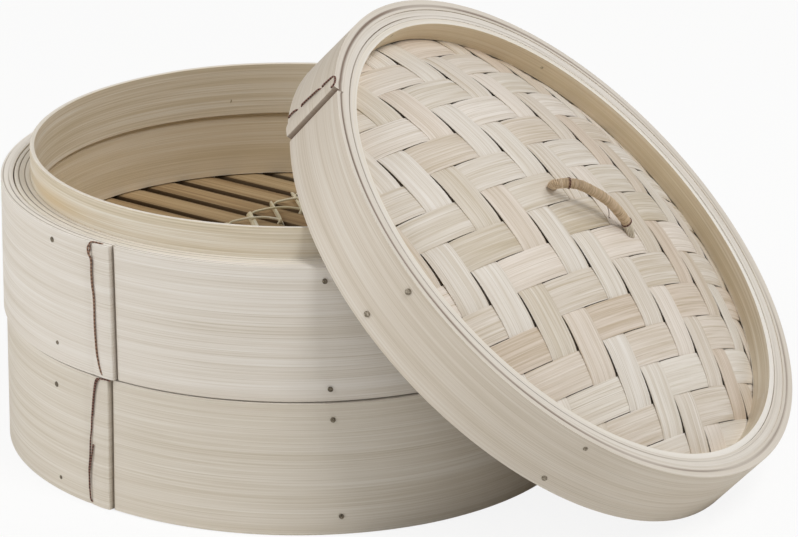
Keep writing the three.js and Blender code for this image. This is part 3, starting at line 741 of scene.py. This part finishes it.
def lashingPaths(side):
    # flat strand one way over each slat, thin arched strand the other way, both pulled down into the gaps
    k = lashing
    middle = side * crossBar["place"]
    spread, stagger = k["spread"], k["stagger"]
    top = floorSizes["bottom"] + floorSizes["thickness"]
    under = floorSizes["bottom"] - crossBar["thickness"] - k["under"]
    shoulder = top + k["arch"] * k["shoulder"]
    half = k["slats"] // 2
    flat = []
    arched = []
    for gap in range(-half, half):
        near = gap * floorSizes["pitch"]
        far = near + floorSizes["pitch"]
        start = near + (stagger if gap == -half else -stagger)
        end = far - stagger
        flat += [Vector((middle + x, y, z)) for x, y, z in [
            (spread, start, under),
            (spread, start, top - k["flatDip"]),
            (spread - k["flatIn"], start + k["flatNear"], top + k["flatRise"]),
            (k["flatIn"] - spread, end - k["flatFar"], top + k["flatRise"]),
            (-spread, end, top - k["flatDip"]),
            (-spread, end, under),
        ]]
        start = near + stagger
        span = far + (-stagger if gap == half - 1 else stagger) - start
        arched += [Vector((middle + x * spread, start + y * span, z)) for x, y, z in [
            (-1, 0, under - k["archUnder"]),
            (-1, 0, top - k["archDip"]),
            (-k["shoulderOut"], 0.2, shoulder),
            (0, 0.5, top + k["arch"]),
            (k["shoulderOut"], 0.8, shoulder),
            (1, 1, top - k["archDip"]),
            (1, 1, under - k["archUnder"]),
        ]]
    return flat, arched


def makeFloor(tier, place):
    f = floorSizes
    body = tier + "_tier"
    turned = place @ Matrix.Rotation(math.radians(f["turn"]), 4, "Z")
    values = {"Bars": f["slats"], "Seed": 3 if tier == "lower" else 8, "Material": slatBamboo}
    values |= {word.capitalize(): f[word] * mm for word in ("pitch", "width", "thickness", "reach", "bottom")}
    nodes = [f"{tier}_slat_grid", f"{tier}_side_slat_right_1", f"{tier}_side_slat_left_1"]
    slats = runTree(f"{tier}_slats", trees["slats"], values, turned)
    sharpen(slats, "slat")
    addPiece(f"{tier}_slats", slats, body, slatBamboo, nodes)
    for word, side in [("left", -1), ("right", 1)]:
        addPiece(f"{tier}_cross_bar_{word}", barMesh(f"{tier}_bar", side, turned), body, slatBamboo)
        flat, arched = lashingPaths(side)
        node = f"{tier}_lashing_{word}"
        common = [turned, body, "cane", caneBamboo]
        flatness = lashing["flatness"]
        addStrands(node + "_flat", [flat], lashing["flatWidth"], *common, [node], flatness=flatness)
        addStrands(node + "_arched", [arched], lashing["archWidth"], *common, sides=8)


# stitched seams: the thread's path as degrees from the band's end and height, with its lift off the band

threadLift = 0.25
threads = {"upper": (0.6, paleThread), "lower": (0.55, redThread), "lid": (0.65, redThread)}
threadPaths = {
    "upper": [
        [(-2.2, 47.3, -1.6), (-3.3, 47.6, -0.9), (-4.2, 47.7, -0.3), (-4.7, 47.2, 0.2), (-4.75, 45, 0.1),
         (-4.9, 43.3, 0.3), (-4.55, 41.5, 0), (-4.6, 37, 0), (-4.35, 32, 0.1), (-3.9, 28, 0.1),
         (-3.95, 22, 0), (-3.75, 15, 0.1), (-3.5, 10, 0), (-3.1, 5.5, 0), (-2.5, 2.2, 0), (-2.1, 0.9, -0.5)],
        [(-4.9, 46.9, -0.1), (-5.15, 45.6, 0.4), (-5.0, 43.6, 0.5), (-4.4, 41.4, 0.4), (-4.4, 36, 0.2),
         (-3.95, 27, 0.1), (-3.8, 18, 0.2), (-3.45, 9, 0.1), (-3.0, 5.5, 0.1)],
    ],
    "lower": [
        [(0.6, 47.3, -0.5), (-0.4, 47.5, -0.1), (-2.2, 47.2, 0.2), (-2.8, 46, 0.3), (-3.35, 42, 0.1),
         (-3.7, 38, 0), (-3.95, 33, 0.1), (-4.2, 28, 0), (-4.45, 24, 0.1), (-4.7, 18, 0), (-4.95, 13, 0.1),
         (-4.95, 9, 0), (-4.8, 5, 0.1), (-4.65, 2, 0), (-4.4, 1.0, -0.6)],
        [(-2.0, 47.0, 0.3), (-2.6, 45.5, 0.4), (-3.15, 42, 0.3), (-3.5, 38, 0.2), (-3.8, 33, 0.1)],
        [(-3.75, 22.5, 0.1), (-4.05, 19, 0.2), (-4.5, 15, 0.2), (-4.85, 11, 0.2), (-4.85, 6, 0.2)],
    ],
    "lid": [
        [(-5.0, 0.6, -0.8), (-4.95, 1.2, 0.1), (-4.8, 4.6, 0.15), (-4.7, 6.0, -0.9), (-4.6, 7.2, -0.9),
         (-4.5, 8.4, 0.1), (-4.3, 13, 0.15), (-4.0, 17.4, 0.1), (-3.95, 18.3, -0.8), (-3.9, 19.0, -0.8),
         (-3.8, 19.8, 0.1), (-3.5, 24.6, 0.15), (-3.1, 26.0, -0.3), (-1.8, 26.1, -0.4), (-0.7, 25.9, 0.0),
         (-0.4, 24.6, 0.1)],
    ],
}


def makeThread(which, place, body):
    near, seam = outerRadius + threadLift, seamDegrees[which]
    width, material = threads[which]
    paths = [
        [pointOn(near + lift, seam + fromEnd, height) for fromEnd, height, lift in path]
        for path in threadPaths[which]
    ]
    node = f"{which}_seam_thread"
    addStrands(node + "_twisted", paths, width, place, body, "thread", material, [node], step=0.4, sides=8)


# pegs that pin the hoops: degrees round the piece, and height above its lower edge

pegSizes = {"tier": 1.7, "lid": 2.0, "inner": 1.4, "length": 1.2, "proud": 0.08}
pegPlaces = {
    "upper": [
        (-117.4, 43.1), (-116.3, 6.7), (-58.8, 42.6), (-57.7, 4.5), (20, 6), (96, 42), (98, 6), (170, 43),
        (172, 6),
    ],
    "lower": [
        (-117.9, 38.7), (-117, 5.0), (-57.8, 41.6), (-56.1, 6.7), (18, 42), (21, 6), (95, 41), (97, 6),
        (171, 42), (170, 6),
    ],
    "lid": [
        (-100.4, 21.8), (-55.6, 22.2), (-102.7, 4.2), (-56.8, 4.0), (22, 22), (100, 21), (24, 5), (102, 5),
        (178, 21),
    ],
}
innerPegPlaces = {
    "upper": [(130.1, 44.2), (-175.7, 43.4), (121.0, 50.2)],
    "lower": [(-60, 44.0), (100, 43.6)],
    "lid": [(176, 22.6), (124.7, 21.6)],
}


def makePegs(which, place, body, face, diameter, bore):
    # the pegs that show outside, then those that show in the bore
    for name, places, radius, outwards, width, material in [
        (which + "_pegs", pegPlaces[which], outerRadius, 1, diameter, face),
        (which + "_inner_pegs", innerPegPlaces[which], bore, -1, pegSizes["inner"], innerPegFace),
    ]:
        mesh = bpy.data.meshes.new(name + "Points")
        facing = [pointOn(1, degrees, 0) * outwards for degrees, _ in places]
        sunk = pegSizes["length"] / 2 - pegSizes["proud"]
        points = [(pointOn(radius, *spot) - out * sunk) * mm for spot, out in zip(places, facing)]
        mesh.from_pydata(points, [], [])
        attribute = mesh.attributes.new("facing", "FLOAT_VECTOR", "POINT")
        attribute.data.foreach_set("vector", [c for out in facing for c in out])
        values = {"Diameter": width * mm, "Length": pegSizes["length"] * mm, "Material": material}
        made = runTree(name, trees["pegs"], values, place, mesh)
        sharpen(made, "peg")
        addPiece(name, made, body, material)


# lid

lidHoops = {"band": (97.3, outerRadius, 0, 25.8), "hoop": (93.6, 97.28, 11.2, 25.5)}
lidSizes = {
    "bevel": 0.13, "ringRadius": 93.55, "topRingBore": 91.4, "topRingTop": 25.2, "underRingBore": 89.9,
    "ringSink": 0.1, "ringGap": 0.35, "domeTop": 37.0, "domeEdge": 15.5,
}
weaveSizes = {
    "strips": 15, "thickness": 0.55, "level": 0.62, "gap": {"along": 0.9, "across": 0.3},
    "crown": 0.2, "turn": -14, "reach": 93.2, "sharpness": 2.4,
}
liningSizes = {"depth": 1.25, "thickness": 0.6, "steps": 22, "sides": 128}
ringPale = {"turn": 20, "height": 20, "spread": 60, "rise": 20, "share": -0.6}  # painted light: the top ring's side towards 20 degrees made paler
domeRise = lidSizes["domeTop"] - lidSizes["domeEdge"]
ballRadius = (lidSizes["topRingBore"] ** 2 + domeRise ** 2) / (2 * domeRise)
ballCentre = lidSizes["domeTop"] - ballRadius
weavePitch = 2 * ballRadius * math.asin(lidSizes["topRingBore"] / ballRadius) / weaveSizes["strips"]


def domeHeight(radius, level):
    return ballCentre + math.sqrt((ballRadius + level) ** 2 - radius ** 2)


def makeLidHoops():
    s = lidSizes
    above = weaveSizes["level"] + weaveSizes["thickness"] / 2 - s["ringSink"]
    below = -liningSizes["depth"] - liningSizes["thickness"] - s["ringGap"]
    topRing = (s["topRingBore"], s["ringRadius"], domeHeight(s["topRingBore"], above), s["topRingTop"])
    underRing = (s["underRingBore"], s["ringRadius"], lidHoops["hoop"][2], domeHeight(s["ringRadius"], below))
    # the lid's band: a stronger painted shadow beside its end and painted shade on its end face
    addHoop(
        "lid_outer_band", lidPlace, "lid", "band", bandBamboo["lid"], lidHoops["band"], bevel=s["bevel"],
        seam=seamDegrees["lid"], slant=seamSlant["lid"], lap=1.2, lines=[1.6], steps=320, seed=11, groove=0.5,
        grooveTurn=-140, grooveMean=0.8, stitch=6.5, seamShadow=1.0, lapGap=1.4, endLift=0.45, endDark=0.5,
        planed=0.35,
    )
    addHoop(
        "lid_inner_hoop", lidPlace, "lid", "hoop", bandBamboo["upper"], lidHoops["hoop"], bevel=s["bevel"],
        seam=70, lines=[1.2], grooveMean=0.5, seed=12, planed=0.2,
    )
    # painted light on the top ring's side towards 20 degrees; tan with painted shade on its inner face
    addHoop(
        "lid_top_ring", lidPlace, "lid", "hoop", hoopBamboo, topRing, bevel=s["bevel"], seam=20, seed=13,
        spill=ringPale, steamed=0.5,
    )
    addHoop("lid_under_ring", lidPlace, "lid", "hoop", hoopBamboo, underRing, seam=110, seed=14)


def makeWeave():
    w = weaveSizes
    common = {"Bars": w["strips"], "Sharpness": w["sharpness"], "Material": stripBamboo}
    common |= {
        "Pitch": weavePitch * mm, "Thickness": w["thickness"] * mm, "Level": w["level"] * mm,
        "Crown": w["crown"] * mm, "Ball": ballRadius * mm, "Centre": ballCentre * mm, "Edge": w["reach"] * mm,
    }
    turned = lidPlace @ Matrix.Rotation(math.radians(w["turn"]), 4, "Z")
    quarter = Matrix.Rotation(math.radians(90), 4, "Z")
    flip = Matrix.Diagonal((1, -1, 1, 1))
    # the second family is the first seen along the other axis, so its rows count the other way
    for way, shift, place, seed in [("along", -2.5, turned, 2), ("across", 0.5, turned @ quarter @ flip, 6)]:
        width = (weavePitch - w["gap"][way]) * mm
        values = {**common, "Width": width, "Shift": shift, "Seed": seed}
        mesh = runTree("lid_weave_" + way, trees["woven"], values, place)
        if way == "across":
            mesh.flip_normals()
        sharpen(mesh, "strip")
        nodes = [f"lid_strip_{way}_{i + 1:02d}" for i in range(w["strips"])]
        addPiece("lid_weave_" + way, mesh, "lid", stripBamboo, nodes)


def makeLining():
    # a thin domed sheet, turned round the lid's axis and closed at its two poles
    top, bottom = -liningSizes["depth"], -liningSizes["depth"] - liningSizes["thickness"]
    steps, sides = liningSizes["steps"], liningSizes["sides"]
    radii = [weaveSizes["reach"] * i / steps for i in range(1, steps + 1)]
    outline = [(radius, bottom) for radius in radii] + [(radius, top) for radius in reversed(radii)]
    mesh = bpy.data.meshes.new("lid_lining")
    points = [Vector((0, 0, domeHeight(0, bottom))), Vector((0, 0, domeHeight(0, top)))]
    faces = []
    n = len(outline)
    for i in range(sides):
        points += [pointOn(radius, 360 * i / sides, domeHeight(radius, level)) for radius, level in outline]
        a, b = 2 + i * n, 2 + ((i + 1) % sides) * n
        faces += [(0, b, a), (1, a + n - 1, b + n - 1)]
        faces += [(a + k, b + k, b + k + 1, a + k + 1) for k in range(n - 1)]
    mesh.from_pydata([lidPlace @ (p * mm) for p in points], [], faces)
    layer = mesh.uv_layers.new(name="fibre")
    for loop in mesh.loops:
        layer.data[loop.index].uv = points[loop.vertex_index].xy * mm
    mesh.shade_smooth()
    sharpen(mesh, "lining")
    addPiece("lid_lining_sheet", mesh, "lid", liningBamboo, ["lid_lining"])


# handle: a cane core, its fine wrap, two bindings with a loose end, and the split fibres at its right foot;
# places are a share of the way between the feet, a height above the weave and a way off to the side

handleSizes = {
    "span": 35.4, "turn": 40, "core": 2.75, "wrap": 0.4, "wrapPitch": 0.45, "wrapFrom": 0.02, "wrapTo": 0.86,
    "wrapWander": 0.12, "pointsPerTurn": 12,
    "arch": [
        (0.06, -1.2, 4.2), (0.02, 0.6, 3.2), (-0.03, 2.6, 1.2), (-0.035, 3.9, 0.2), (0.0, 5.2, 0),
        (0.06, 6.5, 0), (0.156, 7.5, 0), (0.254, 7.6, 0), (0.371, 7.4, 0), (0.475, 7.0, 0), (0.597, 6.2, 0),
        (0.73, 4.7, 0), (0.854, 3.1, 0), (0.926, 1.9, 0), (0.99, 0.3, 0), (1.0, -1.6, 0),
    ],
    "binding": 0.26, "bindings": [0.235, 0.855], "bindingLength": 0.7, "bindingPitch": 0.35,
    "bindingOut": 0.1,
    "tail": [(0.56, 5.0, 0.6), (0.66, 2.4, 0.9), (0.72, 0.1, 1.0)], "tailKnot": [(0, 0, 0.25), (0.5, 0, 0.1)],
    "fibres": 13, "fibreWidth": 0.8, "fibreFan": 230, "fibreRoot": 0.5, "fibreReach": 2.8,
    "fibreFoot": (0.985, 0.15), "fibreBulge": 0.4, "fibreSpread": 0.25,
}
handleTurn = math.radians(handleSizes["turn"])
handleSide = Vector((-math.sin(handleTurn), math.cos(handleTurn), 0))


def handlePoint(share, height, sideways=0.0):
    along = (share - 0.5) * handleSizes["span"]
    surface = domeHeight(abs(along), weaveSizes["level"] + weaveSizes["thickness"] / 2)
    return pointOn(along, handleSizes["turn"], surface + height) + handleSide * sideways


def smoothPath(points, perSpan):
    # Catmull-Rom through the given points
    padded = [points[0] * 2 - points[1]] + points + [points[-1] * 2 - points[-2]]
    path = []
    for i in range(1, len(padded) - 2):
        p0, p1, p2, p3 = padded[i - 1:i + 3]
        for k in range(perSpan):
            t = k / perSpan
            path.append(
                (p1 * 2 + (p2 - p0) * t + (p0 * 2 - p1 * 5 + p2 * 4 - p3) * t ** 2
                 + (p1 * 3 - p0 - p2 * 3 + p3) * t ** 3) / 2
            )
    return path + [points[-1]]


def makeHandle():
    h = handleSizes
    spine = smoothPath([handlePoint(*place) for place in h["arch"]], 12)
    travelled = lengths(spine)[:-1]
    total = travelled[-1]
    side = handleSide

    def at(distance):
        i = max(1, next((k for k, t in enumerate(travelled) if t >= distance), len(travelled) - 1))
        share = (distance - travelled[i - 1]) / (travelled[i] - travelled[i - 1])
        ahead = (spine[i] - spine[i - 1]).normalized()
        return spine[i - 1].lerp(spine[i], share), side.cross(ahead).normalized()

    def coil(start, end, pitch, radius, wanders=0.0):
        points = []
        steps = round((end - start) / pitch * h["pointsPerTurn"])
        for k in range(steps + 1):
            distance = start + (end - start) * k / steps
            middle, out = at(distance)
            angle = 2 * math.pi * k / h["pointsPerTurn"]
            reach = radius * (1 + wanders * noise.noise(Vector((distance * 1.3, 0, 4))))
            points.append(middle + (out * math.cos(angle) + side * math.sin(angle)) * reach)
        return points

    common = [lidPlace, "lid", "handle", handleCane]
    addStrands("lid_handle_core", [spine], h["core"], *common, ["lid_handle_rod"], sides=14)
    reach = (h["core"] + h["wrap"]) / 2
    turns = coil(h["wrapFrom"] * total, h["wrapTo"] * total, h["wrapPitch"], reach, h["wrapWander"])
    addStrands("lid_handle_turns", [turns], h["wrap"], *common, ["lid_handle_wrap"], step=0.3, sides=7)
    reach += h["wrap"] / 2 + h["bindingOut"]
    starts = [share * total for share in h["bindings"]]
    rings = [coil(start, start + h["bindingLength"], h["bindingPitch"], reach) for start in starts]
    tail = [handlePoint(*place) for place in h["tail"]]
    rings.append(smoothPath(tail, 6))
    rings.append([tail[-1] + Vector(off) for off in h["tailKnot"]])
    common = [lidPlace, "lid", "thread", redThread]
    addStrands("lid_handle_bindings", rings, h["binding"], *common, step=0.25, sides=7)
    fibres = []
    wrapEnd, wrapOut = at(h["wrapTo"] * total)
    foot, footHeight = h["fibreFoot"]
    for k in range(h["fibres"]):
        around = math.pi + math.radians(h["fibreFan"]) * (k / (h["fibres"] - 1) - 0.5)
        root = wrapEnd + (side * math.cos(around) - wrapOut * math.sin(around)) * h["core"] * h["fibreRoot"]
        reach = h["fibreReach"] * (1 + h["fibreSpread"] * noise.noise(Vector((k * 1.7, 2, 5))))
        tip = handlePoint(foot + reach * math.sin(around) / h["span"], footHeight, reach * math.cos(around))
        fibres.append(smoothPath([root, (root + tip) / 2 + Vector((0, 0, h["fibreBulge"])), tip], 5))
    common = [lidPlace, "lid", "handle", hoopBamboo]
    addStrands("lid_handle_fibres", fibres, h["fibreWidth"], *common, flatness=0.5, step=0.4, sides=6)


for tierName, tierMatrix in tierPlace.items():
    makeTierHoops(tierName, tierMatrix)
    makeFloor(tierName, tierMatrix)
    makeThread(tierName, tierMatrix, tierName + "_tier")
    makePegs(tierName, tierMatrix, tierName + "_tier", pegFace, pegSizes["tier"], tierHoops["collar"][0])
print("tiers made")
makeLidHoops()
makeWeave()
makeLining()
makeHandle()
makeThread("lid", lidPlace, "lid")
makePegs("lid", lidPlace, "lid", lidPegFace, pegSizes["lid"], lidSizes["topRingBore"])
print("lid made")


# floor, lights and camera

studio = {
    "floorSize": 30, "floorDrop": 0.0002,  # metres
    "floorColour": "#F4F4F2", "floorWhite": 0.88, "maskFrom": 8, "maskTo": 1,
    "skyColour": "#FFFDFA", "sky": 0.31,
}
lamps = {  # place and target in metres, side in metres, power in watts
    "keyLamp": ((0.75, -0.35, 1.25), (0.02, 0, 0.05), 0.45, 7.3),
    "backLamp": ((0.7, 0.7, 1.3), (0.02, 0, 0.05), 0.7, 5.4),
    "fillLamp": ((-1.1, -1.0, 0.8), (0, 0, 0.06), 1.2, 12.2),
}
cameraLook = {
    "place": (5.924, -12.608, 5.661),  # steamer radii from the lower tier's axis
    "forward": (-0.3775, 0.8602, -0.3429), "up": (-0.1466, 0.3101, 0.9393), "lens": 193.0, "sensor": 36,
}


def makeFloorAndWorld():
    s = studio
    size = s["floorSize"]
    mesh = bpy.data.meshes.new("floor")
    corners = [Vector((x * size, y * size, -s["floorDrop"])) for x, y in [(-1, -1), (1, -1), (1, 1), (-1, 1)]]
    mesh.from_pydata(corners, [], [(0, 1, 2, 3)])
    floor = addObject("floor", mesh)
    material, tree = startMaterial("paleFloor")
    diffuse = addNode(tree, "ShaderNodeBsdfDiffuse", {"Color": linear(s["floorColour"])})
    white = addNode(tree, "ShaderNodeEmission", {"Color": (1, 1, 1, 1), "Strength": 1.0})
    ray = addNode(tree, "ShaderNodeLightPath")
    spot = addNode(tree, "ShaderNodeNewGeometry").outputs["Position"]
    off = addNode(tree, "ShaderNodeVectorMath", {0: spot, 1: lowerAxis}, operation="DISTANCE")
    # no white under the tiers, where it would shine up through the slats
    near, far = (outerRadius - s["maskFrom"]) * mm, (outerRadius - s["maskTo"]) * mm
    values = {0: off.outputs["Value"], 1: near, 2: far, 3: 0.0, 4: s["floorWhite"]}
    clear = addNode(tree, "ShaderNodeMapRange", values)
    seen = addNode(tree, "ShaderNodeMath", {0: ray.outputs["Is Camera Ray"], 1: clear}, operation="MULTIPLY")
    mixed = addNode(tree, "ShaderNodeMixShader", {0: seen, 1: diffuse, 2: white})
    addNode(tree, "ShaderNodeOutputMaterial", {"Surface": mixed})
    mesh.materials.append(material)
    world = bpy.data.worlds.new("studio")
    world.use_nodes = True
    tree = world.node_tree
    tree.nodes.clear()
    ray = addNode(tree, "ShaderNodeLightPath")
    soft = addNode(tree, "ShaderNodeBackground", {"Color": linear(s["skyColour"]), "Strength": s["sky"]})
    plain = addNode(tree, "ShaderNodeBackground", {"Color": (1, 1, 1, 1), "Strength": 1.0})
    mixed = addNode(tree, "ShaderNodeMixShader", {0: ray.outputs["Is Camera Ray"], 1: soft, 2: plain})
    addNode(tree, "ShaderNodeOutputWorld", {"Surface": mixed})
    bpy.context.scene.world = world


def addLamp(name, place, target, size, power):
    lamp = bpy.data.lights.new(name, "AREA")
    lamp.size = size
    lamp.energy = power
    thing = addObject(name, lamp)
    thing.location = place
    thing.rotation_euler = (Vector(target) - Vector(place)).to_track_quat("-Z", "Y").to_euler()


def makeCamera():
    look = cameraLook
    camera = bpy.data.cameras.new("camera")
    camera.lens = look["lens"]
    camera.sensor_width = look["sensor"]
    thing = addObject("camera", camera)
    back = -Vector(look["forward"]).normalized()
    right = Vector(look["up"]).cross(back).normalized()
    turn = Matrix((right, back.cross(right), back)).transposed().to_4x4()
    thing.matrix_world = Matrix.Translation(lowerAxis + Vector(look["place"]) * outerRadius * mm) @ turn
    bpy.context.scene.camera = thing


makeFloorAndWorld()
for lampName, values in lamps.items():
    addLamp(lampName, *values)
makeCamera()
bpy.context.scene.view_settings.view_transform = "Standard"
print("stage made")
